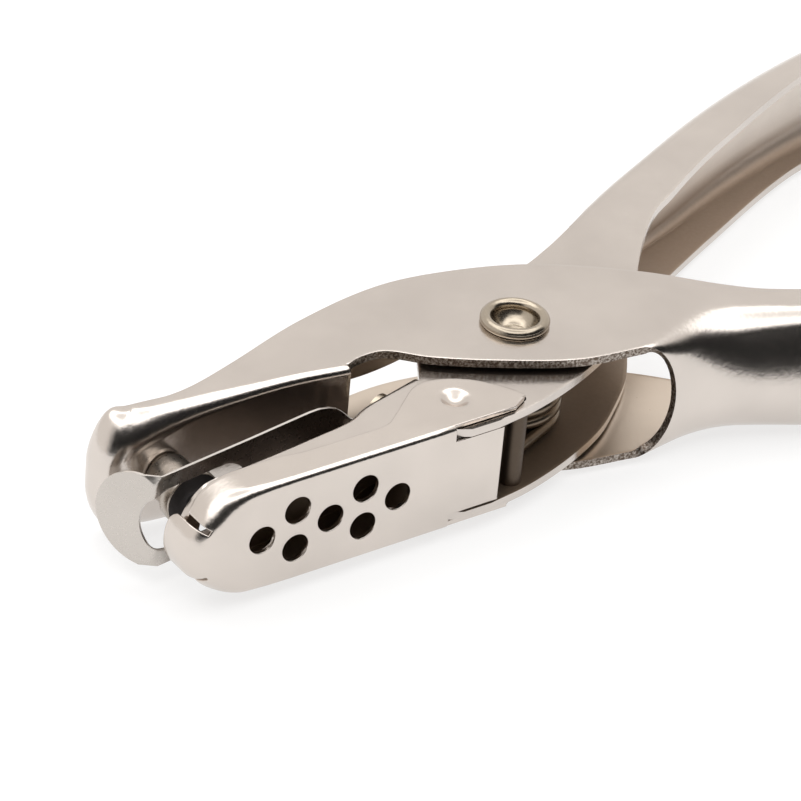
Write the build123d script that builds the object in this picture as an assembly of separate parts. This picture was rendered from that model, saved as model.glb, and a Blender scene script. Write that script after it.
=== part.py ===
from build123d import *
import os
from math import atan2, cos, degrees, hypot, radians, sin

# Single-hole punch plier, pressed from sheet steel.  Millimetres.
# Each piece is drawn about the pivot axis, with z = 0 in the middle of the tool, and
# is lifted by MID_Z when it is written, so the flat head of the pivot rivet rests on z = 0.
# +X runs from the pivot to the handles.  The jaws point to -X.

# ---- driving dimensions ----
SHEET = 0.8                     # lever sheet
OUTER_HALF = 6.05               # half height of the punch lever
LEVER_GAP = 0.4                 # between the two levers' plates
INNER_HALF = OUTER_HALF - SHEET - LEVER_GAP
CLOSE_DEG = 6.1                 # swing from open to punched
COVER_SHEET = 0.5
COVER_GAP = 0.1
COVER_HALF = INNER_HALF + COVER_GAP + COVER_SHEET
COVER_FACE_Y = -11.2            # outer face of the chip cover
COVER_HINGE = (-11.64, -7.11)
NOSE_X = -35.6                  # the jaw and cover are round in front of this
NOSE_REACH = 5.6                # cover's round end, along X
JAW_REACH = 4.9                 # die lever's round end, inside the cover's
FLAP_HALF = 2.75                # half width of the cover's front flap
FLAP_OUT = 0.6                  # how far the flap stands proud of the round end
FLAP_ROOT_Y = -10.8
FLAP_BEND_Y = -10.3
FLAP_EDGE_Y = -6.75
FLAP_SLIT = 0.3                 # gap each side of the flap
DIMPLE_R = 1.3
TONGUE_HALF = 3.93              # half width of the cover's rear tongue
TONGUE_X = -8.9                 # the tongue's rear end
SLOT_X = -14.2                  # front end of the slots each side of the tongue
VENT_R = 1.35
VENT_CENTRE_X = -27.28
VENT_PITCH = 7.13
VENT_ROW_Z = 1.98
HANDLE_AXIS_DEG = 2.7           # the two handles mirror about a line at this angle
HANDLE_HALF = OUTER_HALF        # the die lever's handle widens to this
GRIP_BEND_R = 1.6               # outside radius of the near handle's bends

RIVET_R = 2.5
RIVET_HEAD_R = 4.0
RIVET_HEAD_H = 0.85
RIM_R = 2.7                     # centre line of the rolled rim
RIM_WIRE_R = 0.55
RIM_LIFT = 0.35                 # rim centre line above the lever's plate
RIVET_RECESS_R = 1.75
RIVET_RECESS_DEPTH = 1.5        # below the lever's plate
RUNNING_FIT = 0.06
MID_Z = OUTER_HALF + RIVET_HEAD_H

PUNCH_X = -36.4
PUNCH_END_Y = -3.2
PUNCH_R = 2.75
PUNCH_SHANK_R = 2.2
PUNCH_HEAD_LENGTH = 1.5         # the full-diameter working end
PUNCH_SHOULDER = 4.75           # working end to the lever's web
PUNCH_LENGTH = 6.3              # with the tenon through the web
PUNCH_TENON_R = PUNCH_SHANK_R - 0.4
PUNCH_CUP_R = 0.9
PUNCH_CUP_DEPTH = 0.4
DIE_CLEARANCE = 0.08
DIE_ENTRY = 0.6                 # how far the punch goes into the die

LEAF_HALF = 4.7
LEAF_SHEET = 0.4
LEAF_FOOT = (-41.5, -4.6)       # where the flare turns up
LEAF_TIP = (-44.0, 0.7)
LEAF_SLOT_R = 3.3
LEAF_SLOT_X = -34.1             # centre of the slot's round rear end
LEAF_SLOT_RISE = 1.3            # how far the slot runs up the flare
LEAF_RIVET_R = 0.9

WIRE_R = 0.6
COIL_R = 4.5
COIL_PITCH = 1.22
LOW_LEG_DEG = 292               # where round the coil each leg leaves it
HIGH_LEG_DEG = 71
COIL_TURNS = 5 + (HIGH_LEG_DEG + 360 - LOW_LEG_DEG) / 360
LOW_LEG = 8.65
HIGH_LEG = 14.7
POST = (-6.0, -9.1)
POST_R = 1.0
POST_END_R = POST_R - 0.3       # reduced ends, in the plates

MOUTH_X = 3.2                   # hollow curve where the near handle's web starts
MOUTH_R = 8.1
LUG_LOW = -2.8                  # lower edge of the lug under the crown

OPEN_WAY = 20.0                 # cavities run this far past an open side


# ---- small helpers ----
def slab(face, low, high):
    """Prism on a plan face between two heights."""
    return extrude(Pos(0, 0, low) * face, amount=high - low, dir=(0, 0, 1))


def plan(*curves):
    """Flat face from plan curves joined end to end."""
    return Face(Wire(list(curves)))


def beside(curve, distance, samples=7):
    """Spline that runs beside a plan curve; a positive distance is to its left."""
    points = []
    for i in range(samples):
        u = i / (samples - 1)
        along = curve % u
        points.append(curve @ u + Vector(-along.Y, along.X) * distance)
    return Spline(*points)


def chain(*points):
    """Straight lines through plan points."""
    return list(Polyline(*points).edges())


def mirrored(points):
    """Plan points of one handle carried over to the other handle."""
    out = []
    for x, y in points:
        angle = 2 * radians(HANDLE_AXIS_DEG) - atan2(y, x)
        out.append((hypot(x, y) * cos(angle), hypot(x, y) * sin(angle)))
    return out


def turned(point, angle_deg):
    """Plan point swung about the pivot."""
    c, s = cos(radians(angle_deg)), sin(radians(angle_deg))
    return (point[0] * c - point[1] * s, point[0] * s + point[1] * c)


def rounded_along(solid, curves, radius, reach=0.05):
    """Round the solid's top and bottom edges that lie over the given plan curves."""
    chosen = []
    for edge in solid.edges():
        middle = edge @ 0.5
        flat = Vector(middle.X, middle.Y)
        level = abs((edge @ 0).Z - (edge @ 1).Z) < 2.5
        for curve in curves:
            if level and curve.distance_to(flat) < reach and edge.length > 1:
                chosen.append(edge)
                break
    return fillet(chosen, radius)


# ---- handle outline, shared by both levers ----
PALM = [(29.9, 20.1), (45, 26.4), (58.5, 30.5), (72, 32.6), (84.5, 32.2)]
INNER_EDGE = [(85.0, 26.6), (74, 27.4), (64, 26.9), (53.8, 24.6), (38, 17.7)]
HANDLE_TIP = (88.0, 29.6)


# ---- punch lever: upper jaw and near handle ----
def punch_lever():
    palm = mirrored(PALM)
    inner = mirrored(INNER_EDGE)
    tip = mirrored([HANDLE_TIP])[0]
    throat = Spline((-17.7, 0.5), (-22.7, 1.3), (-27.7, 1.65), (-33, 1.9), (-37.5, 1.7), (-41, 1.6))
    nose = ThreePointArc((-41, 1.6), (-42.2, 2.8), (-41, 4.0))
    crown = Spline(
        (-41, 4.0), (-38.4, 4.6), (-34, 4.4), (-27, 6.2), (-17.3, 9.4), (-7.4, 11.05), (0.8, 9.9),
    )
    fork = Spline((0.8, 9.9), (8.1, 7.2), (15.8, 1.8), (21.2, -3.5), (27.5, -7.8), inner[4])
    inside = Spline(*reversed(inner))
    end = ThreePointArc(inner[0], tip, palm[-1])
    grip = Spline(*reversed(palm), (19.8, -12.2), (15.3, -10.6), (10.0, -10.2))
    raw = Spline(
        (10.0, -10.2), (4.3, -8.9), (-5, -4.7), (-10.3, -1.3), (-13.4, 1.5), (-16, 1.7), (-17.7, 0.5),
    )
    outline = plan(throat, nose, crown, fork, inside, end, grip, raw)
    block = slab(outline, -OUTER_HALF, OUTER_HALF)
    block = rounded_along(block, [grip], GRIP_BEND_R)

    web = beside(throat, -SHEET)
    palm_web = beside(grip, -SHEET)
    first, last = web @ 0, web @ 1
    start, stop = palm_web @ 1, palm_web @ 0
    jaw_front = (last.X, OPEN_WAY)
    cavity = plan(
        web,
        *chain((last.X, last.Y), jaw_front, (110, OPEN_WAY), (110, stop.Y), (stop.X, stop.Y)),
        palm_web,
        *chain((start.X, start.Y), (start.X, -OPEN_WAY), (first.X, -OPEN_WAY), (first.X, first.Y)),
    )
    inner_half = OUTER_HALF - SHEET
    hollow = slab(cavity, -inner_half, inner_half)
    lever = block - hollow
    # The web of the handle starts in a hollow curve.
    mouth = Pos(MOUTH_X, -10, 0) * Rot(90, 0, 0) * Cylinder(MOUTH_R, 6)
    mouth &= Box(60, 60, 2 * inner_half)
    lever -= mouth
    # Lug turned down from the crown; the spring's upper leg pushes on it.
    lug_outer = Spline((-15.0, 9.9), (-11, 10.75), (-7.4, 11.05), (-3.0, 10.8))
    lug_inner = beside(lug_outer, -SHEET)
    lug = plan(
        lug_outer,
        Line(lug_outer @ 1, lug_inner @ 1),
        lug_inner,
        Line(lug_inner @ 0, lug_outer @ 0),
    )
    lever += slab(lug, LUG_LOW, inner_half)
    lever -= Cylinder(RIVET_R, 20)
    lever -= Pos(PUNCH_X, 1.6, 0) * Rot(90, 0, 0) * Cylinder(PUNCH_TENON_R, 4)
    return lever


# ---- die lever: lower jaw and far handle ----
FOOT_LINE = ((-19.0, -3.4), (-12.5, -1.65))     # straight seat of the stripper leaf


def die_lever():
    jaw = Spline((-41, -7.0), (-35.9, -6.45), (-31, -5.95), (-26, -5.3), (-21.5, -4.6), FOOT_LINE[0])
    foot = Line(*FOOT_LINE)
    crown = Spline(FOOT_LINE[1], (-9.3, 2.0), (-4.5, 7.4), (2.0, 8.4), (7.0, 8.9), (14.1, 11.8))
    grip = Spline((14.1, 11.8), (21.8, 15.8), *PALM)
    end = ThreePointArc(PALM[-1], HANDLE_TIP, INNER_EDGE[0])
    inside = Spline(
        *INNER_EDGE, (27.8, 12.5), (20.9, 7.7), (13.9, -0.3), (6.5, -6.2), (-1.9, -9.8), (-9.6, -11.3),
    )
    outline = plan(
        jaw, foot, crown, grip, end, inside,
        *chain((-9.6, -11.3), (-12.6, -11.3), (-14.3, -10.45), (-37.5, -10.45), (-41, -8.6), (-41, -7.0)),
    )
    block = slab(outline, -OUTER_HALF, OUTER_HALF) & side_profile(INNER_HALF, HANDLE_HALF)
    block &= round_nose(INNER_HALF, JAW_REACH, OUTER_HALF)

    web = Spline(
        (-41.2, -7.82), (-35.8, -7.25), (-31, -6.75), (-26, -6.1), (-21.2, -5.35),
        (-18.8, -4.2), (-12.3, -2.48),
    )
    palm_web = beside(grip, -SHEET)
    nose, root = web @ 0, web @ 1
    front, back = palm_web @ 0, palm_web @ 1
    cavity = plan(
        web,
        *chain((root.X, root.Y), (root.X, OPEN_WAY), (front.X, OPEN_WAY), (front.X, front.Y)),
        palm_web,
        *chain((back.X, back.Y), (110, back.Y), (110, -OPEN_WAY), (nose.X, -OPEN_WAY), (nose.X, nose.Y)),
    )
    hollow = slab(cavity, -OUTER_HALF, OUTER_HALF)
    hollow &= side_profile(INNER_HALF - SHEET, HANDLE_HALF - SHEET)
    lever = block - hollow
    lever -= Cylinder(RIVET_R + RUNNING_FIT, 20)
    lever -= Pos(*COVER_HINGE, 0) * Cylinder(DIMPLE_R + RUNNING_FIT, 20)
    lever -= Pos(*POST, 0) * Cylinder(POST_END_R, 20)
    lever -= die_axis() * Cylinder(PUNCH_R + DIE_CLEARANCE, 4)
    for place in leaf_rivet_places():
        lever -= place * Cylinder(LEAF_RIVET_R, 4)
    return lever


def side_profile(jaw_half, handle_half):
    """Region seen from the side: narrow at the jaw and pivot, wider along the handle."""
    top = [(-60, jaw_half), (17, jaw_half), (26, handle_half), (120, handle_half)]
    points = top + [(x, -z) for x, z in reversed(top)]
    face = make_face(Plane.XZ * Polyline(*points, close=True))
    return extrude(face, amount=60, both=True)


def round_nose(half, reach, back_half):
    """Region seen from the front face: a half ellipse at the nose, a plain band behind it."""
    tip = Plane.XZ * Pos(NOSE_X, 0) * Ellipse(reach, half)
    band = Plane.XZ * Pos(NOSE_X + 100, 0) * Rectangle(200, 2 * back_half)
    return extrude(tip + band, amount=60, both=True)


# ---- punch and die ----
def die_axis():
    """Location on the die's face, with its Z along the punch's path out of the die."""
    x, y = turned((PUNCH_X, PUNCH_END_Y + DIE_ENTRY), CLOSE_DEG)
    return Pos(x, y, 0) * Rot(0, 0, CLOSE_DEG) * Rot(-90, 0, 0)


def punch():
    axis = Pos(PUNCH_X, PUNCH_END_Y, 0) * Rot(-90, 0, 0)
    tenon = Pos(0, 0, PUNCH_LENGTH / 2) * Cylinder(PUNCH_TENON_R, PUNCH_LENGTH)
    shank = Pos(0, 0, PUNCH_SHOULDER / 2) * Cylinder(PUNCH_SHANK_R, PUNCH_SHOULDER)
    work = Pos(0, 0, PUNCH_HEAD_LENGTH / 2) * Cylinder(PUNCH_R, PUNCH_HEAD_LENGTH)
    body = work + shank + tenon
    body -= Cone(PUNCH_CUP_R, 0.3, PUNCH_CUP_DEPTH, align=(Align.CENTER, Align.CENTER, Align.MIN))
    return axis * body


# ---- stripper leaf ----
def stripper_leaf():
    line = FilletPolyline(
        (-13.3, -1.63), (-18.7, -3.08), (-19.9, -1.75), (-22.6, -1.85), (-30.8, -3.1),
        LEAF_FOOT, LEAF_TIP, radius=0.6,
    )
    side = make_face(offset(line, LEAF_SHEET / 2, side=Side.BOTH))
    blade = extrude(side, amount=LEAF_HALF, both=True)
    # The flared end is round, seen square on.
    along = (LEAF_TIP[0] - LEAF_FOOT[0], LEAF_TIP[1] - LEAF_FOOT[1])
    rise = hypot(*along)
    flare = Pos(*LEAF_FOOT, 0) * Rot(0, 0, degrees(atan2(along[1], along[0]))) * Rot(90, 0, 0)
    keep = flare * Pos(rise - LEAF_HALF, 0, 0) * Cylinder(LEAF_HALF + 0.1, 3)
    keep += flare * Pos(rise - LEAF_HALF - 20, 0, 0) * Box(40, 2 * LEAF_HALF + 1, 3)
    flare_zone = Pos(-43.2, -1.5, 0) * Box(3.4, 6.4, 2 * LEAF_HALF + 2)
    blade -= flare_zone - keep
    # The slot runs from low on the flare back along the blade.
    slot_middle = Pos((LEAF_SLOT_X + LEAF_FOOT[0]) / 2, LEAF_FOOT[1] + LEAF_SHEET, 0)
    slot = slot_middle * Box(LEAF_SLOT_X - LEAF_FOOT[0], 3, 2 * LEAF_SLOT_R)
    slot += Pos(LEAF_SLOT_X, -4, 0) * Rot(90, 0, 0) * Cylinder(LEAF_SLOT_R, 3)
    slot += flare * Pos(LEAF_SLOT_RISE - LEAF_SLOT_R, 0, 0) * Cylinder(LEAF_SLOT_R, 3)
    blade -= slot
    for place in leaf_rivet_places():
        blade -= place * Cylinder(LEAF_RIVET_R, 4)
    return blade


def leaf_rivet_places():
    """Where the leaf is fastened to the lower jaw, on its foot."""
    (x0, y0), (x1, y1) = FOOT_LINE
    slope = degrees(atan2(y1 - y0, x1 - x0))
    middle = Pos((x0 + x1) / 2, (y0 + y1) / 2, 0) * Rot(0, 0, slope) * Rot(-90, 0, 0)
    return [middle * Pos(0, z, 0) for z in (-2.4, 2.4)]


def leaf_rivets():
    rivets = Part()
    for place in leaf_rivet_places():
        stem = Cylinder(LEAF_RIVET_R, 2.8)
        top = Pos(0, 0, 0.75) * Cylinder(1.5, 0.5)
        tail = Pos(0, 0, -1.25) * Cylinder(1.4, 0.5)
        rivets += place * (stem + top + tail)
    return rivets


# ---- pivot and spring ----
def pivot_rivet():
    length = 2 * OUTER_HALF
    shank = Cylinder(RIVET_R, length)
    head = Pos(0, 0, -OUTER_HALF - RIVET_HEAD_H / 2) * Cylinder(RIVET_HEAD_R, RIVET_HEAD_H)
    collar = Pos(0, 0, OUTER_HALF + RIM_LIFT / 2) * Cylinder(RIM_R, RIM_LIFT)
    rim = Pos(0, 0, OUTER_HALF + RIM_LIFT) * Torus(RIM_R, RIM_WIRE_R)
    rim &= Pos(0, 0, OUTER_HALF + 1) * Cylinder(2 * RIM_R, 2)
    recess = Pos(0, 0, OUTER_HALF - RIVET_RECESS_DEPTH + 2) * Cylinder(RIVET_RECESS_R, 4)
    return shank + head + collar + rim - recess


def spring_post():
    whole = 2 * INNER_HALF
    pin = Cylinder(POST_R, whole - 2 * SHEET) + Cylinder(POST_END_R, whole)
    return Pos(*POST, 0) * pin


def torsion_spring():
    """Close coil round the pivot, with a straight leg from each end."""
    height = COIL_TURNS * COIL_PITCH
    coil = Pos(0, 0, -height / 2) * Rot(0, 0, LOW_LEG_DEG) * Helix(COIL_PITCH, height, COIL_R)
    section = Plane(origin=coil @ 0, z_dir=coil % 0) * Circle(WIRE_R)
    solids = [sweep(section, path=coil, is_frenet=True).solid()]
    for end, direction, length in ((0, -1, LOW_LEG), (1, 1, HIGH_LEG)):
        along = (coil % end) * direction
        flat = Vector(along.X, along.Y).normalized()
        start = Plane(origin=coil @ end + flat * 0.03, z_dir=flat)
        solids.append(extrude(start * Circle(WIRE_R), amount=length).solid())
    return Compound(children=solids)


# ---- chip cover ----
def chip_cover():
    ear = Spline(
        (-19.6, -7.85), (-18, -6.9), (-15.8, -5.2), (-12.4, -3.6), (-8.0, -5.8), (-5.7, -9.1), (-6.4, -10.3),
    )
    front = NOSE_X - NOSE_REACH
    edge = chain(
        (front + 1, COVER_FACE_Y), (front, -10.0), (front, -7.5), (-39.8, -7.6), (-30.6, -7.5),
        (-28.6, -7.9), (-19.6, -7.85),
    )
    outline = plan(*edge, ear, *chain((-6.4, -10.3), (-7.4, COVER_FACE_Y), (front + 1, COVER_FACE_Y)))
    block = slab(outline, -COVER_HALF, COVER_HALF) & round_nose(COVER_HALF, NOSE_REACH, COVER_HALF)
    inner = COVER_HALF - COVER_SHEET
    hollow_edge = COVER_FACE_Y + COVER_SHEET
    hollow = plan(*chain(
        (front + 1.3, hollow_edge), (front + 0.3, -9.8), (front, 0), (0, 0), (0, hollow_edge),
        (front + 1.3, hollow_edge),
    ))
    reach = NOSE_REACH - COVER_SHEET
    cover = block - (slab(hollow, -inner, inner) & round_nose(inner, reach, inner))
    cover = with_flap(cover, inner)
    # Behind the slots the face narrows to a tongue between the lever's plates.
    overlap = 0.2
    cover -= Pos(SLOT_X + 7, -10.5, 0) * Box(14, 3, 2 * inner)
    length = TONGUE_X - SLOT_X + overlap
    tongue = Pos(TONGUE_X - length / 2, COVER_FACE_Y + COVER_SHEET / 2, 0)
    cover += tongue * Box(length, COVER_SHEET, 2 * TONGUE_HALF)
    for side in (-1, 1):
        cover += Pos(*COVER_HINGE, side * (inner - SHEET / 2)) * Cylinder(DIMPLE_R, SHEET)
    for x, z in vent_places():
        cover -= Pos(x, COVER_FACE_Y, z) * Rot(90, 0, 0) * Cylinder(VENT_R, 3)
    return cover


def nose_band(low_y, high_y, half):
    """Block over the cover's round end, between two distances from its face."""
    return Pos(NOSE_X - NOSE_REACH + 1, (low_y + high_y) / 2, 0) * Box(4, high_y - low_y, 2 * half)


def with_flap(cover, inner):
    """Part the middle of the cover's front wall from its sides and set it forward."""
    cover -= nose_band(FLAP_ROOT_Y, FLAP_EDGE_Y + 0.5, FLAP_HALF + FLAP_SLIT)
    outside = round_nose(COVER_HALF, NOSE_REACH + FLAP_OUT, COVER_HALF)
    hollow = round_nose(inner, NOSE_REACH + FLAP_OUT - COVER_SHEET, inner)
    root_hollow = round_nose(inner, NOSE_REACH - COVER_SHEET, inner)
    flap = (nose_band(FLAP_BEND_Y, FLAP_EDGE_Y, FLAP_HALF) & outside) - hollow
    root = (nose_band(FLAP_ROOT_Y - 0.1, FLAP_BEND_Y, FLAP_HALF) & outside) - root_hollow
    return cover + root + flap


def vent_places():
    """Centres of the seven round holes: a row of three between two rows of two."""
    places = [(VENT_CENTRE_X + k * VENT_PITCH, 0) for k in (-1, 0, 1)]
    for side in (-1, 1):
        places += [(VENT_CENTRE_X + k * VENT_PITCH / 2, side * VENT_ROW_Z) for k in (-1, 1)]
    return places


MAKERS = (
    die_lever, punch_lever, punch, stripper_leaf, leaf_rivets,
    pivot_rivet, spring_post, torsion_spring, chip_cover,
)
os.makedirs("parts", exist_ok=True)
for maker in MAKERS:
    export_step(Pos(0, 0, MID_Z) * maker(), f"parts/{maker.__name__}.step")
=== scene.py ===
"""Looks of the single-hole punch plier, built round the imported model. Plan sizes are in millimetres."""
from math import atan2, ceil, cos, hypot, pi, radians, sin, sqrt

import bmesh
import bpy
from mathutils import Matrix, Vector
from mathutils.geometry import delaunay_2d_cdt


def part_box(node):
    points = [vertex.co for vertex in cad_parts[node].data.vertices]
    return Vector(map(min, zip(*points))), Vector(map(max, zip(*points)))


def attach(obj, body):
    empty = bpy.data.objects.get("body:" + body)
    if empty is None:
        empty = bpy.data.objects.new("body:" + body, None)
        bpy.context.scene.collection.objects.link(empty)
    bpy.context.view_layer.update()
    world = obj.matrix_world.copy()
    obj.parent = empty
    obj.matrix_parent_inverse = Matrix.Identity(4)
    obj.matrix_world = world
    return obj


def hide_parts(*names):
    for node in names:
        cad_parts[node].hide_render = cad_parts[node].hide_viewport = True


MM = 0.001
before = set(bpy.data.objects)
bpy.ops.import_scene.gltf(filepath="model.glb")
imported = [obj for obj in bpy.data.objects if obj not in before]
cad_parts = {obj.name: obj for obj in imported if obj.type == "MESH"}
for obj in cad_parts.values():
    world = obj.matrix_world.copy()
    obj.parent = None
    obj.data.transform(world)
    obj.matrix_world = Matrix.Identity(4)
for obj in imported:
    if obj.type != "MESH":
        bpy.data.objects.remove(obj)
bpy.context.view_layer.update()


def node_box(node):
    """Lowest and highest corner of a CAD node in millimetres."""
    low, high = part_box(node)
    return low / MM, high / MM


# ---- sizes read from the frame ----
lever_low, lever_high = node_box("punch_lever")
MID_Z = (lever_low.z + lever_high.z) / 2
OUTER_HALF = (lever_high.z - lever_low.z) / 2
cover_low, cover_high = node_box("chip_cover")
COVER_HALF = (cover_high.z - cover_low.z) / 2
COVER_FACE_Y = cover_low.y
FLAP_OUT = 0.6                  # how far the cover's front flap stands proud
COVER_FRONT_X = cover_low.x + FLAP_OUT
post_low, post_high = node_box("spring_post")
INNER_HALF = (post_high.z - post_low.z) / 2
punch_low, punch_high = node_box("punch")
PUNCH_X = (punch_low.x + punch_high.x) / 2
PUNCH_R = (punch_high.z - punch_low.z) / 2
PUNCH_END_Y = punch_low.y
leaf_low, leaf_high = node_box("stripper_leaf")
LEAF_HALF = (leaf_high.z - leaf_low.z) / 2


# ---- sizes chosen for the looks ----
SHEET = 0.8
COVER_SHEET = 0.5
LEAF_SHEET = 0.26               # thinner than the CAD leaf
HANDLE_AXIS = radians(2.7)      # the two handles mirror about this line
CLOSE_ANGLE = radians(6.1)      # swing of the punch lever until it is closed

PALM = [(29.9, 20.1), (45, 26.4), (58.5, 30.5), (72, 32.6), (84.5, 32.2)]
INNER_EDGE = [(85.0, 26.6), (74, 27.4), (64, 26.9), (53.8, 24.6), (38, 17.7)]
PALM_END = (87.3, 31.2)
GRIP_ANGLES = (0, 54, 77, 122, 180)      # where the near handle's section changes radius
GRIP_RADII = (1, 14, 6.6, 1)             # the middle two are scaled to fill the height
GRIP_STEPS = (8, 5, 8, 8)
MOUTH_DEPTH = 3.6               # how far a handle's open front curves back
PIVOT_HOLE_R = 2.5              # in the punch lever
LOOSE_HOLE_R = 2.6              # in the die lever
HINGE_HOLE_R = 1.7              # in the die lever, round each dimple of the cover
DIE_CLEARANCE = 0.12            # round the punch, so the visual hole is a little wider than the CAD one

HINGE = (-11.64, -7.11)         # the cover's hinge axis in plan
DIMPLE_R = 1.6
VENT_R = 1.35
VENT_CENTRE_X = -27.28
VENT_PITCH = 7.13
VENT_ROW_Z = 1.98
SLOT_X = -14.2
TONGUE_X = -8.9
TONGUE_HALF = 3.93
NOSE_X = -35.6
COVER_REACH = NOSE_X - COVER_FRONT_X      # how far the round end goes past NOSE_X
REAR_X = -7.4
FLAP_HALF = 2.6
FLANGE_FREE_Y = -7.55           # free edge of the cover's flange
FLAP_FREE_Y = -6.75             # free edge of its front flap
COVER_BENDS = [                 # (place along X, outside radius between face and flange)
    (-40.9, 0.9), (-40, 1.6), (-38.8, 2.0), (-37.2, 1.4), (-35.4, 0.85), (-32.5, 0.6), (-7, 0.55),
]

ZENITH = (0.8, 0.78, 0.76)      # straight overhead
TENT = (2.3, 2.28, 2.25)        # bright ring of the soft tent round it
BACK_WALL = (0.95, 0.92, 0.89)
DARK = (0.015, 0.015, 0.015)
FLOOR_GLOW = (0.6, 0.6, 0.6)


# ---- curves and mesh helpers ----
def smooth(points, step=0.7):
    """Evenly dense curve through the points, without corners."""
    pts = [Vector(p) for p in points]
    ends = [2 * pts[0] - pts[1]] + pts + [2 * pts[-1] - pts[-2]]
    out = []
    for i in range(1, len(ends) - 2):
        a, b, c, d = ends[i - 1:i + 3]
        chord = max((c - b).length, 1e-6)
        slope_b = (c - a) * chord / max((b - a).length + chord, 1e-6)
        slope_c = (d - b) * chord / max((d - c).length + chord, 1e-6)
        count = max(2, ceil(chord / step))
        for k in range(count):
            t = k / count
            weight = (2 * t**3 - 3 * t**2 + 1, t**3 - 2 * t**2 + t, -2 * t**3 + 3 * t**2, t**3 - t**2)
            out.append(b * weight[0] + slope_b * weight[1] + c * weight[2] + slope_c * weight[3])
    out.append(pts[-1])
    return out


def lengths(line):
    """Distance along a line at each of its points."""
    total = [0.0]
    for a, b in zip(line, line[1:]):
        total.append(total[-1] + (b - a).length)
    return total


def at_length(line, total, s):
    """Point of a line at a distance along it."""
    s = min(max(s, 0), total[-1])
    for i in range(1, len(total)):
        if s <= total[i]:
            part = (s - total[i - 1]) / max(total[i] - total[i - 1], 1e-9)
            return line[i - 1].lerp(line[i], part)
    return line[-1].copy()


def ramp(x, low, high):
    """0 before low, 1 after high, smooth between."""
    t = min(max((x - low) / (high - low), 0), 1)
    return t * t * (3 - 2 * t)


def between_pairs(x, table):
    """Straight-line value from (place, value) pairs in rising order."""
    if x <= table[0][0]:
        return table[0][1]
    for (x0, v0), (x1, v1) in zip(table, table[1:]):
        if x <= x1:
            return v0 + (v1 - v0) * (x - x0) / (x1 - x0)
    return table[-1][1]


def eased(x, table, reach=1.5):
    """The same, with its corners rounded over a reach either side."""
    steps = 4
    places = [x + reach * k / steps for k in range(-steps, steps + 1)]
    return sum(between_pairs(place, table) for place in places) / len(places)


def inside(point, loops):
    """Even-odd test of a plan point against closed loops."""
    hit = False
    for loop in loops:
        for a, b in zip(loop, loop[1:] + loop[:1]):
            if (a.y > point.y) != (b.y > point.y):
                if point.x < (b.x - a.x) * (point.y - a.y) / (b.y - a.y) + a.x:
                    hit = not hit
    return hit


def spread(loops, spacing):
    """Evenly spaced plan points inside closed loops, clear of their edges."""
    xs, ys = [v.x for v in loops[0]], [v.y for v in loops[0]]
    spots = []
    for i in range(int((max(xs) - min(xs)) / spacing) + 1):
        for k in range(int((max(ys) - min(ys)) / spacing) + 1):
            spots.append(Vector((min(xs) + (i + 0.5) * spacing, min(ys) + (k + 0.5) * spacing)))
    return clear_of(spots, loops, spacing * 0.45)


def clear_of(spots, loops, gap):
    """The spots that lie inside the loops and at least a gap from their points."""
    kept = []
    for spot in spots:
        if inside(spot, loops) and min((spot - v).length for loop in loops for v in loop) > gap:
            kept.append(spot)
    return kept


def margin(loops, gap=0.35):
    """Plan points just inside the edges of closed loops, so that shading there stays narrow."""
    spots = []
    for loop in loops:
        for before, point, after in zip(loop[-1:] + loop[:-1], loop, loop[1:] + loop[:1]):
            along = (after - before).normalized()
            across = Vector((-along.y, along.x)) * gap
            spots += [point + across, point - across]
    return clear_of(spots, loops, gap * 0.7)


def fill(bm, loops, place, outward, spots=None):
    """Sheet inside closed plan loops. place turns a plan point into space; outward(x) is its outer side."""
    verts, edges = [], []
    for loop in loops:
        first = len(verts)
        verts += loop
        edges += [(first + i, first + (i + 1) % len(loop)) for i in range(len(loop))]
    verts += margin(loops) + (spread(loops, 3.0) if spots is None else spots)
    co, _, tris, _, _, _ = delaunay_2d_cdt(verts, edges, [], 0, 1e-5)
    made = [bm.verts.new(place(v)) for v in co]
    for tri in tris:
        centre = sum((co[i] for i in tri), Vector((0, 0))) / 3
        if not inside(centre, loops):
            continue
        face = bm.faces.new([made[i] for i in tri])
        face.normal_update()
        if face.normal.dot(outward(centre.x)) < 0:
            face.normal_flip()
    for v in made:
        if not v.link_faces:
            bm.verts.remove(v)


def grid(bm, rows, outward):
    """Quads between rows of points. outward(row, column) is the side that faces out."""
    made = [[bm.verts.new(p) for p in row] for row in rows]
    for i in range(len(rows) - 1):
        for k in range(len(rows[i]) - 1):
            corners = [made[i][k], made[i + 1][k], made[i + 1][k + 1], made[i][k + 1]]
            if (corners[0].co - corners[1].co).length < 1e-9:
                corners = corners[1:]
            elif (corners[2].co - corners[3].co).length < 1e-9:
                corners = corners[:3]
            face = bm.faces.new(corners)
            face.normal_update()
            if face.normal.dot(outward(i, k)) < 0:
                face.normal_flip()


def lathe(bm, profile, axis, steps=64):
    """Surface of revolution. profile is (radius, height) pairs; axis places the turned points."""
    turns = [2 * pi * i / steps for i in range(steps)]
    rings = []
    for r, h in profile:
        if r == 0:
            rings.append([bm.verts.new(axis @ Vector((0, 0, h)))])
        else:
            rings.append([bm.verts.new(axis @ Vector((r * cos(turn), r * sin(turn), h))) for turn in turns])
    for a, b in zip(rings, rings[1:]):
        for i in range(steps):
            j = (i + 1) % steps
            corners = [a[i % len(a)], a[j % len(a)], b[j % len(b)], b[i % len(b)]]
            bm.faces.new(list(dict.fromkeys(corners)))


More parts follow.
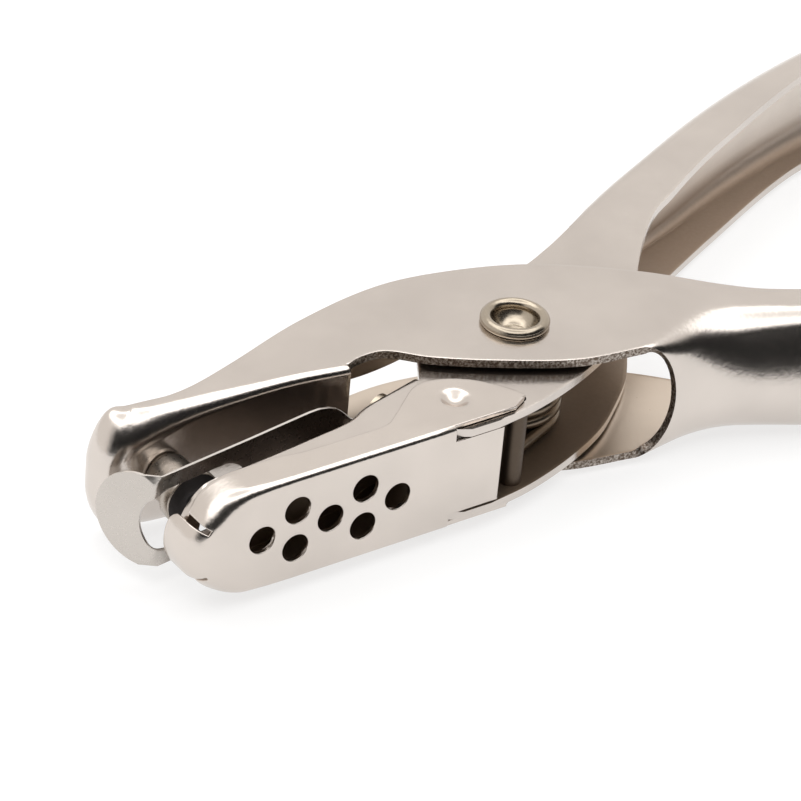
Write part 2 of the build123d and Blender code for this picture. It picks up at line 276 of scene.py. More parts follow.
def to_object(bm, name, material, body, replaced=()):
    """Mesh piece in metres that rides on a body and stands for CAD nodes."""
    bmesh.ops.remove_doubles(bm, verts=bm.verts, dist=2e-3)
    bmesh.ops.scale(bm, vec=(MM,) * 3, verts=bm.verts)
    mesh = bpy.data.meshes.new(name)
    bm.to_mesh(mesh)
    bm.free()
    for face in mesh.polygons:
        face.use_smooth = True
    piece = bpy.data.objects.new(name, mesh)
    bpy.context.collection.objects.link(piece)
    mesh.materials.append(material)
    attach(piece, body)
    if replaced:
        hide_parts(*replaced)
    return piece


def thicken(piece, sheet, edge_round, edge_metal, inside_metal=None, offset=-1, limited=True):
    """Give a one-sided sheet its thickness, with its edges slightly rounded. offset -1 is inwards."""
    solid = piece.modifiers.new("sheet", "SOLIDIFY")
    solid.thickness = sheet * MM
    solid.offset = offset
    solid.use_even_offset = False
    piece.data.materials.append(edge_metal)
    solid.material_offset_rim = 1
    if inside_metal:
        piece.data.materials.append(inside_metal)
        solid.material_offset = 2
    round_edges(piece, edge_round, limited)


def round_edges(piece, width, limited=True):
    """Break sharp edges and even out the shading. limited narrows the rounding where edges are short."""
    bevel = piece.modifiers.new("edge", "BEVEL")
    bevel.width = width * MM
    bevel.segments = 2
    bevel.limit_method = "ANGLE"
    bevel.angle_limit = radians(50)
    bevel.use_clamp_overlap = limited
    normals = piece.modifiers.new("normals", "WEIGHTED_NORMAL")
    normals.keep_sharp = True


def circle(x, y, r, steps=32):
    """Closed round loop in plan."""
    turns = [2 * pi * i / steps for i in range(steps)]
    return [Vector((x + r * cos(turn), y + r * sin(turn))) for turn in turns]


def mirrored(points):
    """Plan points of one handle carried over to the other handle."""
    out = []
    for x, y in points:
        angle = 2 * HANDLE_AXIS - atan2(y, x)
        out.append((hypot(x, y) * cos(angle), hypot(x, y) * sin(angle)))
    return out


# ---- materials ----
def nickel(name, tint, roughness, grain=1.0, peel=0.0, stain=0.0):
    """Nickel-plated steel: fine grain, slight orange peel where it was drawn, faint stains."""
    material = bpy.data.materials.new(name)
    material.use_nodes = True
    nodes, links = material.node_tree.nodes, material.node_tree.links
    shader = nodes["Principled BSDF"]
    shader.inputs["Metallic"].default_value = 1.0
    shader.inputs["Specular IOR Level"].default_value = 0.5
    place = nodes.new("ShaderNodeTexCoord")

    cloud = nodes.new("ShaderNodeTexNoise")
    cloud.inputs["Scale"].default_value = 90
    cloud.inputs["Detail"].default_value = 6
    links.new(place.outputs["Object"], cloud.inputs["Vector"])
    tone = nodes.new("ShaderNodeValToRGB")
    dark = [c * (0.93 - stain) for c in tint]
    light = [min(1, c * 1.03) for c in tint]
    tone.color_ramp.elements[0].position = 0.3
    tone.color_ramp.elements[0].color = (*dark, 1)
    tone.color_ramp.elements[1].position = 0.7
    tone.color_ramp.elements[1].color = (*light, 1)
    links.new(cloud.outputs["Fac"], tone.inputs["Fac"])
    links.new(tone.outputs["Color"], shader.inputs["Base Color"])

    speck = nodes.new("ShaderNodeTexNoise")
    speck.inputs["Scale"].default_value = 2600
    speck.inputs["Detail"].default_value = 3
    links.new(place.outputs["Object"], speck.inputs["Vector"])
    rough = nodes.new("ShaderNodeMapRange")
    rough.inputs["To Min"].default_value = roughness * 0.8
    rough.inputs["To Max"].default_value = roughness * 1.25
    links.new(speck.outputs["Fac"], rough.inputs["Value"])
    links.new(rough.outputs["Result"], shader.inputs["Roughness"])

    fine = nodes.new("ShaderNodeBump")
    fine.inputs["Strength"].default_value = 0.05 * grain
    fine.inputs["Distance"].default_value = 0.0001
    links.new(speck.outputs["Fac"], fine.inputs["Height"])
    last = fine
    if peel:
        skin = nodes.new("ShaderNodeTexNoise")
        skin.inputs["Scale"].default_value = 700
        skin.inputs["Detail"].default_value = 2
        links.new(place.outputs["Object"], skin.inputs["Vector"])
        bump = nodes.new("ShaderNodeBump")
        bump.inputs["Strength"].default_value = peel
        bump.inputs["Distance"].default_value = 0.0002
        links.new(skin.outputs["Fac"], bump.inputs["Height"])
        links.new(fine.outputs["Normal"], bump.inputs["Normal"])
        last = bump
    links.new(last.outputs["Normal"], shader.inputs["Normal"])
    return material


WARM = (0.65, 0.595, 0.55)
LEVER_METAL = nickel("lever_nickel", WARM, 0.2, grain=2, peel=0.07, stain=0.03)
COVER_METAL = nickel("cover_nickel", (0.67, 0.61, 0.56), 0.22, grain=2, peel=0.05, stain=0.03)
LEAF_SHADED_METAL = nickel("leaf_steel", (0.58, 0.54, 0.50), 0.28, grain=2)
DARK_END = nickel("punch_end", (0.06, 0.055, 0.055), 0.5, grain=4, peel=0.2)
# Insides of the punch lever and cover: browner and a little darker than the outside, a painted shade
INSIDE_SHADED_METAL = nickel("inner_nickel_painted_shade", (0.66, 0.57, 0.48), 0.3, grain=0.3, peel=0.03, stain=0.08)
# Inside of the die lever: a lighter tint than the outside is painted light, and shade is painted into it
# further down
CHANNEL_PAINTED_METAL = nickel("channel_nickel_painted_light_and_shade", (0.88, 0.82, 0.76), 0.5)
RIVET_METAL = nickel("rivet_nickel", (0.52, 0.45, 0.36), 0.24, peel=0.3, stain=0.25)
TOOL_METAL = nickel("punch_steel", (0.50, 0.45, 0.40), 0.28, peel=0.3, stain=0.25)
SPRING_METAL = nickel("spring_steel", (0.20, 0.16, 0.12), 0.3)
POST_METAL = nickel("post_steel", (0.11, 0.085, 0.065), 0.45)


def sheared_edge():
    """Cut edge of a plated sheet: dark and torn, with bright specks."""
    material = nickel("sheared_edge", WARM, 0.4, grain=4, peel=0.5)
    tone = next(node for node in material.node_tree.nodes if node.type == "VALTORGB")
    cloud = next(link.from_node for link in tone.inputs["Fac"].links)
    cloud.inputs["Scale"].default_value = 4500
    tone.color_ramp.elements[0].position = 0.42
    tone.color_ramp.elements[0].color = (0.12, 0.09, 0.07, 1)
    tone.color_ramp.elements[1].position = 0.70
    tone.color_ramp.elements[1].color = (0.55, 0.50, 0.45, 1)
    return material


def painted_shade_past(material, axis, shade, low, high):
    """Paint shade into a material past a place on an object axis, in millimetres: none at low, full at
    high.
    """
    nodes, links = material.node_tree.nodes, material.node_tree.links
    shader = nodes["Principled BSDF"]
    tint = next(iter(shader.inputs["Base Color"].links)).from_socket
    place = next(node for node in nodes if node.type == "TEX_COORD")
    split = nodes.new("ShaderNodeSeparateXYZ")
    links.new(place.outputs["Object"], split.inputs["Vector"])
    along = nodes.new("ShaderNodeMapRange")
    along.inputs["From Min"].default_value = low * MM
    along.inputs["From Max"].default_value = high * MM
    links.new(split.outputs[axis], along.inputs["Value"])
    mix = nodes.new("ShaderNodeMixRGB")
    mix.inputs["Color2"].default_value = (*shade, 1)
    links.new(along.outputs["Result"], mix.inputs["Fac"])
    links.new(tint, mix.inputs["Color1"])
    links.new(mix.outputs["Color"], shader.inputs["Base Color"])


RAW_EDGE = sheared_edge()
# Painted shade: the die lever's insides darken towards its lower plate
painted_shade_past(CHANNEL_PAINTED_METAL, "Z", (0.45, 0.36, 0.29), MID_Z - 2.5, MID_Z - 5)
# Painted shade: the die lever's insides darken towards the pivot, between the two levers
painted_shade_past(CHANNEL_PAINTED_METAL, "X", (0.25, 0.19, 0.14), 30, 12)
# Painted shade: the leaf's blade, which stands in the dark slot beside the jaw, is much darker than its
# flare
painted_shade_past(LEAF_SHADED_METAL, "X", (0.16, 0.13, 0.11), -40.6, -38.5)
LEAF_EDGE = nickel("leaf_edge", (0.7, 0.66, 0.62), 0.3)


def paint_cad(node, material):
    """Give a CAD node its only material."""
    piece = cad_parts[node]
    piece.data.materials.clear()
    piece.data.materials.append(material)


paint_cad("leaf_rivets", RIVET_METAL)
paint_cad("spring_post", POST_METAL)
paint_cad("torsion_spring", SPRING_METAL)


# ---- pressed channels: the two levers ----

def channel_wall(bm, line, inset, section, start=lambda z: 0.0):
    """Bends and web of a channel that follows a plan line.

    inset(s) is the plan direction from the web towards the plates, section(s, x) lists (pull, z) points
    from the upper plate to the lower one, and start(z) is how far along the line the wall begins.
    Returns the plan lines where the wall meets the upper and the lower plate.
    """
    total = lengths(line)
    rows, outs = [], []
    for i in range(len(line)):
        u = i / (len(line) - 1)
        row, out = [], []
        for pull, z in section(total[i], line[i].x):
            s = start(z) + (total[-1] - start(z)) * u
            spot, way = at_length(line, total, s), inset(s)
            row.append(Vector((spot.x + way.x * pull, spot.y + way.y * pull, z + MID_Z)))
            out.append(Vector((-way.x, -way.y, z * 0.15)))
        rows.append(row)
        outs.append(out)
    grid(bm, rows, lambda i, k: outs[i][k])
    upper = [Vector((row[0].x, row[0].y)) for row in rows]
    lower = [Vector((row[-1].x, row[-1].y)) for row in rows]
    return upper, lower


def jaw_section(inset, drop, half, slow=0.0, web_steps=3):
    """Flat web with rounded bends: inset in plan, drop in height. slow stretches the bend's lower part."""
    steps = 12
    out, down = [0.0], [0.0]
    for k in range(steps):
        a = (k + 0.5) / steps * pi / 2
        weight = 1 + slow * ramp(a, 0.6, 0.9) * (1 - ramp(a, 1.3, 1.5))
        out.append(out[-1] + weight * cos(a))
        down.append(down[-1] + weight * sin(a))
    points = [(inset * (1 - o / out[-1]), half - drop * d / down[-1]) for o, d in zip(out, down)]
    flat = half - drop
    points += [(0, flat * (1 - k / web_steps)) for k in range(1, web_steps)]
    return points + [(0, 0)] + [(pull, -z) for pull, z in reversed(points)]


def grip_section(corner, bow, half):
    """Handle wall: rounded corners and a web that bulges. bow 0 is a plain box, 1 the full bulge."""
    spans = [cos(radians(a)) - cos(radians(b)) for a, b in zip(GRIP_ANGLES, GRIP_ANGLES[1:])]
    middle = GRIP_RADII[1] * spans[1] + GRIP_RADII[2] * spans[2]
    scale = (2 * half - corner * (spans[0] + spans[3])) / middle
    radii = (corner, GRIP_RADII[1] * scale, GRIP_RADII[2] * scale, corner)
    out, z = 0.0, half
    points = [(0.0, half)]
    widest = 0.0
    for a, b, radius, steps in zip(GRIP_ANGLES, GRIP_ANGLES[1:], radii, GRIP_STEPS):
        for k in range(1, steps + 1):
            turn = radians(a + (b - a) * k / steps)
            last = radians(a + (b - a) * (k - 1) / steps)
            out += radius * (sin(turn) - sin(last))
            z -= radius * (cos(last) - cos(turn))
            widest = max(widest, out)
            points.append((out, z))
    return [((widest - out) * bow, z) for out, z in points]


def normal_inset(line, side):
    """Inset direction straight across the line; side 1 is to its left."""
    total = lengths(line)

    def way(s):
        a, b = at_length(line, total, s - 0.4), at_length(line, total, s + 0.4)
        along = (b - a).normalized()
        return Vector((-along.y, along.x)) * side
    return way


def plate(bm, outline, holes, half, side, spacing=3.0):
    """Flat side of a lever: side 1 is the upper one."""
    loops = [outline] + holes
    fill(
        bm, loops, lambda p: Vector((p.x, p.y, MID_Z + side * half(p.x))), lambda x: Vector((0, 0, side)),
        spread(loops, spacing),
    )


def chain(*lines):
    """Closed outline from lines joined end to end, without doubled points."""
    out = []
    for line in lines:
        for p in line:
            p = Vector(p)
            if not out or (p - out[-1]).length > 0.02:
                out.append(p)
    if (out[0] - out[-1]).length < 0.02:
        out.pop()
    return out


def handle_end(palm, inner, steps=10):
    """Shallow arc that closes a plate at the end of a handle."""
    middle = (Vector(palm) + Vector(inner)) / 2
    half = Vector(palm) - middle
    away = Vector((half.length * 0.6, 0))
    angles = [pi * k / steps for k in range(steps + 1)]
    return [middle + half * cos(a) + away * sin(a) for a in angles]


def mouth(z):
    """How far back a handle's web begins at a height: a C-shaped front edge."""
    return MOUTH_DEPTH * sqrt(max(0.0, 1 - (z / OUTER_HALF) ** 2))


def punch_lever():
    """Upper jaw and near handle, with the lug turned down at the crown."""
    bm = bmesh.new()
    nose_line = 8.6             # length of the throat line that goes round the nose
    nose_middle = Vector((-38.4, 4.1))
    straight = Vector((-0.12, 1)).normalized()
    throat = smooth([
        (-17.7, 0.5), (-22.7, 1.3), (-27.7, 1.65), (-33, 1.85), (-37.2, 1.7), (-39.8, 1.6), (-41.5, 2.15),
        (-42.4, 3.3), (-42.6, 4.5), (-42.2, 5.5), (-41.2, 6.0), (-39.9, 5.7),
    ], 0.4)
    total = lengths(throat)
    cap = total[-1] - nose_line

    def rounding(s):
        """0 along the jaw, 1 where its end is drawn round."""
        return ramp(s, cap - 9, cap + 3)

    def heading(s):
        spot = at_length(throat, total, s)
        centred = (nose_middle - spot).normalized()
        return straight.lerp(centred, rounding(s)).normalized()

    def way(s):
        return sum((heading(s + 0.5 * k) for k in range(-3, 4)), Vector((0, 0))).normalized()

    def section(s, x):
        inset = eased(s, [(0, 0.7), (9, 0.95), (16, 1.6), (cap, 2.7), (cap + 4, 3.5), (total[-1], 1.2)])
        drop = eased(s, [(0, 0.7), (9, 0.95), (16, 1.6), (cap, 3.0), (cap + 4, 4.8), (total[-1], 4.8)])
        return jaw_section(inset, drop, OUTER_HALF, 1.5 * rounding(s))

    jaw, _ = channel_wall(bm, throat, way, section)

    root = [(8.0, -10.1), (11.3, -10.3), (15.3, -10.8), (19.8, -12.2)]
    grip = smooth(root + mirrored(PALM + [PALM_END]), 1.0)
    grip_end = lengths(grip)[-1]

    def handle(s, x):
        bow = eased(s, [(0, 0.14), (7, 1.0), (grip_end, 1.0)])
        corner = eased(s, [(0, 4.6), (5, 4.2), (16, 2.3), (grip_end, 2.3)])
        return grip_section(corner, bow, OUTER_HALF)

    palm_lines = channel_wall(bm, grip, normal_inset(grip, 1), handle, mouth)
    inner = mirrored(INNER_EDGE)
    fork = smooth(inner + [
        (27.5, -7.8), (24.1, -5.9), (21.2, -3.5), (15.8, 1.8), (8.1, 7.2), (0.8, 9.9), (-7.4, 11.05),
        (-17.3, 9.4), (-27, 6.2), (-31.5, 4.85), (-34.5, 4.4), (-37.0, 4.6), jaw[-1],
    ])
    for palm, side in zip(palm_lines, (1, -1)):
        raw = smooth([
            (-17.6, 1.2), (-16, 1.7), (-13.4, 1.5), (-10.3, -1.3), (-5, -4.7), (1.5, -7.9), palm[0],
        ])
        end = handle_end(palm[-1], inner[0])
        outline = chain(list(reversed(jaw)), raw, palm, end, fork)
        plate(bm, outline, [circle(0, 0, PIVOT_HOLE_R)], lambda x: OUTER_HALF, side)

    lug = smooth([(-15.0, 9.85), (-11, 10.7), (-7.4, 10.95), (-3.0, 10.75)])
    lug_middle = -9
    lug_length = 12
    lug_drop = 2.8              # below mid height, at its middle
    lug_rise = 1.2              # how much less at its ends
    rows = []
    for p in lug:
        drop = lug_drop - lug_rise * (2 * (p.x - lug_middle) / lug_length) ** 2
        rows.append([Vector((p.x, p.y, MID_Z + z)) for z in (OUTER_HALF - 0.4, 2, 0, -drop)])
    grid(bm, rows, lambda i, k: Vector((0, 1, 0)))
    piece = to_object(bm, "punch_lever_skin", LEVER_METAL, "punch_lever", ("punch_lever",))
    thicken(piece, SHEET, 0.1, RAW_EDGE, INSIDE_SHADED_METAL)


def die_hole(bm):
    """Open a round hole in the lower jaw's web where the punch enters when the jaws close."""
    turn = Matrix.Rotation(CLOSE_ANGLE, 3, "Z")
    middle = turn @ Vector((PUNCH_X, PUNCH_END_Y, 0)) + Vector((0, 0, MID_Z))
    axis = turn @ Vector((0, 1, 0))
    radius = PUNCH_R + DIE_CLEARANCE
    drawn_in = radius + 0.5     # boundary points nearer than this move on to the circle

    def across(point):
        away = point - middle
        return away - axis * away.dot(axis)

    cut = [face for face in bm.faces if across(face.calc_center_median()).length < radius]
    bmesh.ops.delete(bm, geom=cut, context="FACES")
    for v in bm.verts:
        away = across(v.co)
        if v.is_boundary and away.length < drawn_in:
            v.co += away.normalized() * (radius - away.length)


def die_lever():
    """Lower jaw and far handle; the handle widens to the full height."""
    bm = bmesh.new()
    widen_from = 13
    widen_to = 38
    nose_depth = 5.4            # how far the web's front edge curves back
    nose_back = 0.4
    throat = smooth([
        (-41, -7.0), (-35.9, -6.45), (-31, -5.95), (-26, -5.3), (-21.5, -4.6), (-19.0, -3.4), (-15.7, -2.5),
        (-12.5, -1.65),
    ], 0.4)

    def half(x):
        return INNER_HALF + (OUTER_HALF - INNER_HALF) * ramp(x, widen_from, widen_to)

    def nose(z):
        return nose_depth * (1 - sqrt(max(0.0, 1 - (z / INNER_HALF) ** 2))) + nose_back

    jaw, _ = channel_wall(
        bm, throat, normal_inset(throat, -1),
        lambda s, x: jaw_section(0.85, 0.85, INNER_HALF, web_steps=10), nose,
    )
    die_hole(bm)
    grip = smooth([(14.1, 12.1), (21.8, 16.6)] + PALM + [PALM_END], 1.0)
    grip_end = lengths(grip)[-1]

    def handle(s, x):
        bend = eased(s, [(0, 0.2), (6, 1.1), (18, 1.5), (50, 2.7)])
        return jaw_section(bend, max(bend, 0.8), half(x))

    palm_lines = channel_wall(bm, grip, normal_inset(grip, -1), handle, mouth)
    crown = [jaw[-1], (-9.3, 2.0), (-4.5, 7.4), (2.0, 8.4), (7.0, 8.9), (11.3, 10.6)]
    fork = smooth(INNER_EDGE + [
        (31.9, 14.7), (27.8, 12.5), (24.7, 10.9), (20.9, 7.7), (17.3, 3.9), (13.9, -0.3), (10.5, -3.3),
        (6.5, -6.2), (1.1, -8.7), (-4.7, -10.5), (-9.6, -11.3),
    ])
    belly = [(-12.6, -11.3), (-14.3, -10.45), (jaw[0].x + 1.5, -10.45), (jaw[0].x + 0.3, -9.8)]
    for palm, side in zip(palm_lines, (1, -1)):
        end = handle_end(palm[-1], INNER_EDGE[0])
        outline = chain(jaw, smooth(crown + [palm[0]]), palm, end, fork, belly)
        holes = [circle(0, 0, LOOSE_HOLE_R), circle(*HINGE, HINGE_HOLE_R, 20)]
        plate(bm, outline, holes, half, side, 2.0)
    piece = to_object(bm, "die_lever_skin", LEVER_METAL, "die_lever", ("die_lever",))
    thicken(piece, SHEET, 0.1, LEVER_METAL, CHANNEL_PAINTED_METAL)


# ---- chip cover ----

def cover_outline():
    """Plan of the cover seen along the holes: (x, z) points, outward (x, z) directions."""
    points, ways = [], []
    for x in (REAR_X, -9.2, -11, -12.6, SLOT_X, -16, -18.5, -21, -23.5, -26, -28.5, -31, -33.5):
        points.append(Vector((x, COVER_HALF)))
        ways.append(Vector((0, 1)))
    cut = FLAP_HALF / COVER_HALF
    notch = pi / 2 - atan2(cut, sqrt(1 - cut * cut))
    angles = [notch * k / 14 for k in range(15)]
    angles += [notch + 0.02 + (pi / 2 - notch - 0.02) * k / 9 for k in range(10)]
    for a in angles:
        points.append(Vector((NOSE_X - COVER_REACH * sin(a), COVER_HALF * cos(a))))
        ways.append(Vector((-sin(a) / COVER_REACH, cos(a) / COVER_HALF)).normalized())
    for p, w in list(zip(points, ways))[-2::-1]:
        points.append(Vector((p.x, -p.y)))
        ways.append(Vector((w.x, -w.y)))
    return points, ways


def cover_bend(x):
    """Outside radius between the face and the flange."""
    return eased(x, COVER_BENDS, 0.6)


def cover_point(p, way, part):
    """Point of the cover's rim: part 0 to 1 is the bend, 1 to 2 the flange up to its free edge."""
    radius = cover_bend(p.x)
    on_flap = abs(p.y) < FLAP_HALF - 0.02 and p.x < NOSE_X
    if on_flap:
        free = FLAP_FREE_Y - 0.9 * abs(p.y / FLAP_HALF) ** 8
    elif p.x < NOSE_X:
        wrap = (COVER_HALF - abs(p.y)) / (COVER_HALF - FLAP_HALF)
        free = FLANGE_FREE_Y - 0.8 * wrap ** 2
    else:
        free = FLANGE_FREE_Y
    angle = min(part, 1) * pi / 2
    y = COVER_FACE_Y + radius * (1 - cos(angle))
    if y > free:
        y = free
        drop = min(1.0, (free - COVER_FACE_Y) / radius)
        angle = min(angle, atan2(sqrt(1 - (1 - drop) ** 2), 1 - drop))
    inset = radius * (1 - sin(angle))
    if part > 1:
        y += (free - y) * (part - 1)
    out = 0.0
    if on_flap:
        out = FLAP_OUT * (1 - 0.45 * abs(p.y / FLAP_HALF) ** 3) * ramp(y, -10.9, -9.2)
    return Vector((p.x - way.x * (inset - out), y, p.y - way.y * (inset - out) + MID_Z))


def chip_cover():
    """Hinged cover: flat face with its holes, bent rim, and an ear with a dimple on each side."""
    bm = bmesh.new()
    points, ways = cover_outline()
    parts = [k / 10 for k in range(11)] + [1 + k / 5 for k in range(1, 6)]
    rims = [[cover_point(p, w, part) for part in parts] for p, w in zip(points, ways)]
    bend_top = 10
    slot_row = 8
    for i in range(len(points) - 1):
        a, b = points[i], points[i + 1]
        middle = (a + b) / 2
        way = (ways[i] + ways[i + 1]) / 2
        plain_side = middle.x > NOSE_X
        inner, outer = sorted((abs(a.y), abs(b.y)))
        in_notch = middle.x < NOSE_X and inner < FLAP_HALF < outer + 0.01
        first = slot_row if middle.x > SLOT_X else 0
        last = bend_top if plain_side else len(parts) - 1
        if in_notch:
            last = 3
        rows = [rims[i][first:last + 1], rims[i + 1][first:last + 1]]
        grid(bm, rows, lambda r, k: Vector((way.x, -0.6, way.y)))

    face_rim = [
        Vector((rim[0].x, rim[0].z - MID_Z)) for p, rim in zip(points, rims) if p.x <= SLOT_X + 0.01
    ]
    face = face_rim + [
        Vector(p) for p in (
            (SLOT_X, -TONGUE_HALF), (-11.5, -TONGUE_HALF), (TONGUE_X, -TONGUE_HALF), (TONGUE_X, 0),
            (TONGUE_X, TONGUE_HALF), (-11.5, TONGUE_HALF), (SLOT_X, TONGUE_HALF),
        )
    ]
    vents = [(VENT_CENTRE_X + k * VENT_PITCH, 0) for k in (-1, 0, 1)]
    for side in (-1, 1):
        vents += [(VENT_CENTRE_X + k * VENT_PITCH / 2, side * VENT_ROW_Z) for k in (-1, 1)]
    holes = [circle(x, z, VENT_R, 40) for x, z in vents]
    fill(
        bm, [face] + holes,
        lambda p: Vector((p.x, COVER_FACE_Y, p.y + MID_Z)), lambda x: Vector((0, -1, 0)),
    )

    ear = smooth([
        (-31, -7.5), (-28.6, -7.9), (-24, -7.95), (-19.6, -7.85), (-18, -6.9), (-15.8, -5.2), (-14, -3.95),
        (-12.4, -3.6), (-10.2, -4.2), (-8.0, -5.8), (-5.9, -8.9), (-5.75, -9.7), (-6.4, -10.1),
    ])
    for side in (1, -1):
        column = [rim for p, rim in zip(points, rims) if abs(p.y - side * COVER_HALF) < 1e-3]
        if side < 0:
            column.reverse()
        low = [Vector((rim[bend_top].x, rim[bend_top].y)) for rim in column]
        front = [Vector((rim.x, rim.y)) for rim in column[-1][bend_top + 1:]]
        outline = chain(low, front, [Vector((-33.5, -7.52))], ear)
        fill(
            bm, [outline, circle(*HINGE, DIMPLE_R)],
            lambda p: Vector((p.x, p.y, MID_Z + side * COVER_HALF)), lambda x: Vector((0, 0, side)),
        )
        dimple = [
            (DIMPLE_R, 0), (1.45, -0.03), (1.25, -0.12), (1.05, -0.24), (0.85, -0.38),
            (0.6, -0.5), (0.4, -0.56), (0.2, -0.6), (0, -0.61),
        ]
        seat = Matrix.Translation((*HINGE, MID_Z + side * COVER_HALF)) @ Matrix.Diagonal((1, 1, side, 1))
        made = len(bm.faces)
        lathe(bm, dimple, seat, 32)
        bm.faces.ensure_lookup_table()
        for face_made in bm.faces[made:]:
            face_made.normal_update()
            if face_made.normal.z * side < 0:
                face_made.normal_flip()
    piece = to_object(bm, "chip_cover_skin", COVER_METAL, "chip_cover", ("chip_cover",))
    thicken(piece, COVER_SHEET, 0.07, COVER_METAL, INSIDE_SHADED_METAL, limited=False)


# ---- stripper leaf ----
def stripper_leaf():
    """Springy strip laid out flat as (distance along, height), then bent along its side view."""
    corners = [(-13.3, -1.63), (-18.7, -3.08), (-19.9, -1.75), (-22.6, -1.85), (-30.8, -3.1), (-41.5, -4.6)]
    flare = (-44.0, 0.7)
    line = []
    for before, corner, after in zip(corners, corners[1:], corners[2:] + [flare]):
        a, b, c = Vector(before), Vector(corner), Vector(after)
        enter, leave = b + (a - b).normalized() * 0.5, b + (c - b).normalized() * 0.5
        for k in range(7):
            t = k / 6
            line.append(enter * (1 - t) ** 2 + b * 2 * t * (1 - t) + leave * t * t)
    line = [Vector(corners[0])] + line + [Vector(flare)]
    total = lengths(line)
    end = total[-1]
    across = normal_inset(line, 1)

    def place(p):
        spot = at_length(line, total, p.x)
        return Vector((spot.x, spot.y, p.y + MID_Z))

    upper = [(0, 2.6), (5.4, 2.6), (6.6, 2.9), (7.4, 3.5), (8.1, 4.05), (8.9, 4.4), (10.0, 4.62)]
    upper += [(s, LEAF_HALF) for s in (11.2, 14, 18, end - 9, end - 6.5)]
    flare_r = LEAF_HALF
    quarter = [k * pi / 48 for k in range(25)]
    upper += [(end - flare_r + flare_r * sin(a), flare_r * cos(a)) for a in quarter]
    loop = [Vector(p) for p in upper] + [Vector((x, -y)) for x, y in upper[-2::-1]]
    slot_r = 3.2
    slot_rim = 4.5              # leaf left beyond the slot
    slot_end = end - slot_rim - slot_r
    slot_start = 21.5
    half_turn = [k * pi / 24 for k in range(25)]
    slot = [(slot_end + slot_r * cos(pi / 2 - a), slot_r * sin(pi / 2 - a)) for a in half_turn]
    slot += [(slot_start - slot_r * cos(a - pi / 2), slot_r * sin(a - pi / 2)) for a in half_turn]
    hole = [Vector(p) for p in slot]
    spots = [Vector((s, z)) for s in total for z in (-4.2, -3.6, -2, 0, 2, 3.6, 4.2)]
    bm = bmesh.new()
    fill(
        bm, [loop, hole], place, lambda x: Vector((*across(x), 0)), clear_of(spots, [loop, hole], 0.12),
    )
    piece = to_object(bm, "stripper_leaf_skin", LEAF_SHADED_METAL, "die_lever", ("stripper_leaf",))
    thicken(piece, LEAF_SHEET, 0.05, LEAF_EDGE, offset=0)


# ---- punch and pivot rivet ----
def turned_piece(name, profile, seat, material, body, replaced):
    """Closed turned part with slightly broken edges."""
    bm = bmesh.new()
    lathe(bm, profile, seat)
    bmesh.ops.recalc_face_normals(bm, faces=bm.faces)
    piece = to_object(bm, name, material, body, replaced)
    round_edges(piece, 0.08)
    return piece


def punch():
    """Round punch with a dark working end and a small cup in it."""
    shank, neck, tenon = 2.2, 2.1, 1.8
    seat = Matrix.Translation((PUNCH_X, PUNCH_END_Y, MID_Z)) @ Matrix.Rotation(radians(-90), 4, "X")
    profile = [
        (0, 0.4), (0.3, 0.38), (0.55, 0.22), (0.8, 0.04), (0.95, 0), (PUNCH_R - 0.12, 0), (PUNCH_R, 0.12),
        (PUNCH_R, 1.35), (PUNCH_R - 0.2, 1.5), (2.25, 1.6), (shank, 1.75), (shank, 4.4),
        (neck, 4.5), (neck, 4.75), (tenon, 4.78), (tenon, 6.2), (1.6, 6.3), (0, 6.3),
    ]
    piece = turned_piece("punch_skin", profile, seat, TOOL_METAL, "punch_lever", ("punch",))
    piece.data.materials.append(DARK_END)
    end = (PUNCH_END_Y + 0.05) * MM
    cup = 0.9 * MM
    for face in piece.data.polygons:
        off_axis = hypot(face.center.x - PUNCH_X * MM, face.center.z - MID_Z * MM)
        if face.center.y < end or off_axis < cup:
            face.material_index = 1


def pivot_rivet():
    """Hollow rivet: flat head below, rolled rim and shallow bowl above."""
    seat = Matrix.Translation((0, 0, MID_Z))
    top = OUTER_HALF
    rim = 2.7                   # centre line of the roll
    wire = 0.55
    roll = []
    for k in range(17):
        a = radians(-35 + 245 * k / 16)
        roll.append((rim + wire * cos(a), top + 0.35 + wire * sin(a)))
    profile = [
        (0, -top - 0.85), (3.7, -top - 0.85), (4.0, -top - 0.6), (4.0, -top - 0.15), (3.8, -top),
        (2.5, -top), (2.5, top), (2.9, top + 0.02),
    ] + roll + [
        (2.0, top - 0.25), (1.75, top - 0.6), (1.45, top - 0.85), (1.3, top - 0.95), (1.2, top - 1.0),
        (0, top - 1.0),
    ]
    turned_piece(
        "pivot_rivet_skin", profile, seat, RIVET_METAL, "punch_lever", ("pivot_rivet",),
    )


punch_lever()
die_lever()
chip_cover()
stripper_leaf()
punch()
pivot_rivet()


# ---- floor, lights, camera ----
def plain(name, colour, roughness):
    """Material of one colour."""
    material = bpy.data.materials.new(name)
    material.use_nodes = True
    shader = material.node_tree.nodes["Principled BSDF"]
    shader.inputs["Base Color"].default_value = (*colour, 1)
    shader.inputs["Roughness"].default_value = roughness
    return material


def floor():
    """Pale floor with some glow of its own, which keeps it near white."""
    mesh = bpy.data.meshes.new("floor")
    size = 3.0
    corners = [(-size, -size, 0), (size, -size, 0), (size, size, 0), (-size, size, 0)]
    mesh.from_pydata(corners, [], [(0, 1, 2, 3)])
    plane = bpy.data.objects.new("floor", mesh)
    bpy.context.collection.objects.link(plane)
    material = plain("floor_white", (0.32, 0.32, 0.32), 0.9)
    shader = material.node_tree.nodes["Principled BSDF"]
    shader.inputs["Emission Color"].default_value = (1, 1, 1, 1)
    shader.inputs["Emission Strength"].default_value = 0.69
    mesh.materials.append(material)


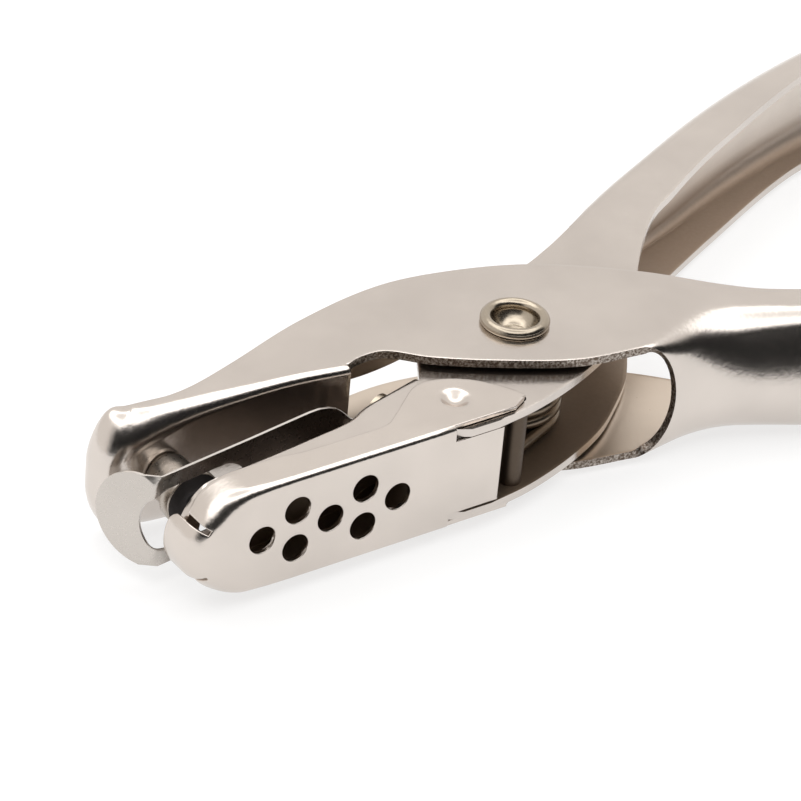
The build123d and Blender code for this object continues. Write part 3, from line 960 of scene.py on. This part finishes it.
def area_light(name, place, target, size, power):
    """White rectangular light that faces a target."""
    data = bpy.data.lights.new(name, "AREA")
    data.shape = "RECTANGLE"
    data.size, data.size_y = size
    data.energy = power
    lamp = bpy.data.objects.new(name, data)
    bpy.context.collection.objects.link(lamp)
    lamp.location = place
    lamp.rotation_euler = (Vector(target) - Vector(place)).to_track_quat("-Z", "Y").to_euler()


def studio_world():
    """Bright ring high up, softer straight overhead, dark band low down in front, pale behind."""
    world = bpy.data.worlds.new("studio")
    bpy.context.scene.world = world
    world.use_nodes = True
    nodes, links = world.node_tree.nodes, world.node_tree.links
    back = nodes["Background"]
    place = nodes.new("ShaderNodeTexCoord")
    split = nodes.new("ShaderNodeSeparateXYZ")
    links.new(place.outputs["Generated"], split.inputs["Vector"])

    def between(socket, low, high):
        """0 at low to 1 at high of a coordinate."""
        change = nodes.new("ShaderNodeMapRange")
        change.interpolation_type = "SMOOTHSTEP"
        change.inputs["From Min"].default_value = low
        change.inputs["From Max"].default_value = high
        links.new(socket, change.inputs["Value"])
        return change.outputs["Result"]

    def over(factor, below, above):
        """Mix of two colours or sockets by a factor socket."""
        mix = nodes.new("ShaderNodeMixRGB")
        links.new(factor, mix.inputs["Fac"])
        for name, value in (("Color1", below), ("Color2", above)):
            if isinstance(value, tuple):
                mix.inputs[name].default_value = (*value, 1)
            else:
                links.new(value, mix.inputs[name])
        return mix.outputs["Color"]

    behind = between(split.outputs["Y"], -0.45, -0.1)
    low_ring = over(behind, DARK, BACK_WALL)
    above_floor = between(split.outputs["Z"], -0.03, 0.03)
    low_part = over(above_floor, FLOOR_GLOW, low_ring)
    tent = over(between(split.outputs["Z"], 0.69, 0.78), low_part, TENT)
    links.new(over(between(split.outputs["Z"], 0.9, 0.97), tent, ZENITH), back.inputs["Color"])
    back.inputs["Strength"].default_value = 1.0


def camera():
    """View along the jaws from the front left, about 33 degrees above the plane of the levers."""
    place = Vector((-220.75, -271.49, 222.75 + MID_Z))
    data = bpy.data.cameras.new("camera")
    data.sensor_width = 36
    data.lens = 202.25
    data.clip_start = 0.01
    eye = bpy.data.objects.new("camera", data)
    bpy.context.collection.objects.link(eye)
    right = Vector((0.82048, -0.56631, 0.07817)).normalized()
    ahead = Vector((0.51134, 0.66583, -0.54332)).normalized()
    up = right.cross(ahead).normalized()
    right = ahead.cross(up)
    turn = Matrix((right, up, -ahead)).transposed().to_4x4()
    eye.matrix_world = Matrix.Translation(place * MM) @ turn
    bpy.context.scene.camera = eye


floor()
studio_world()
area_light("overhead", (0, 0, 1.2), (0, 0, 0), (1.5, 1.5), 3)
camera()
bpy.context.scene.view_settings.view_transform = "Standard"
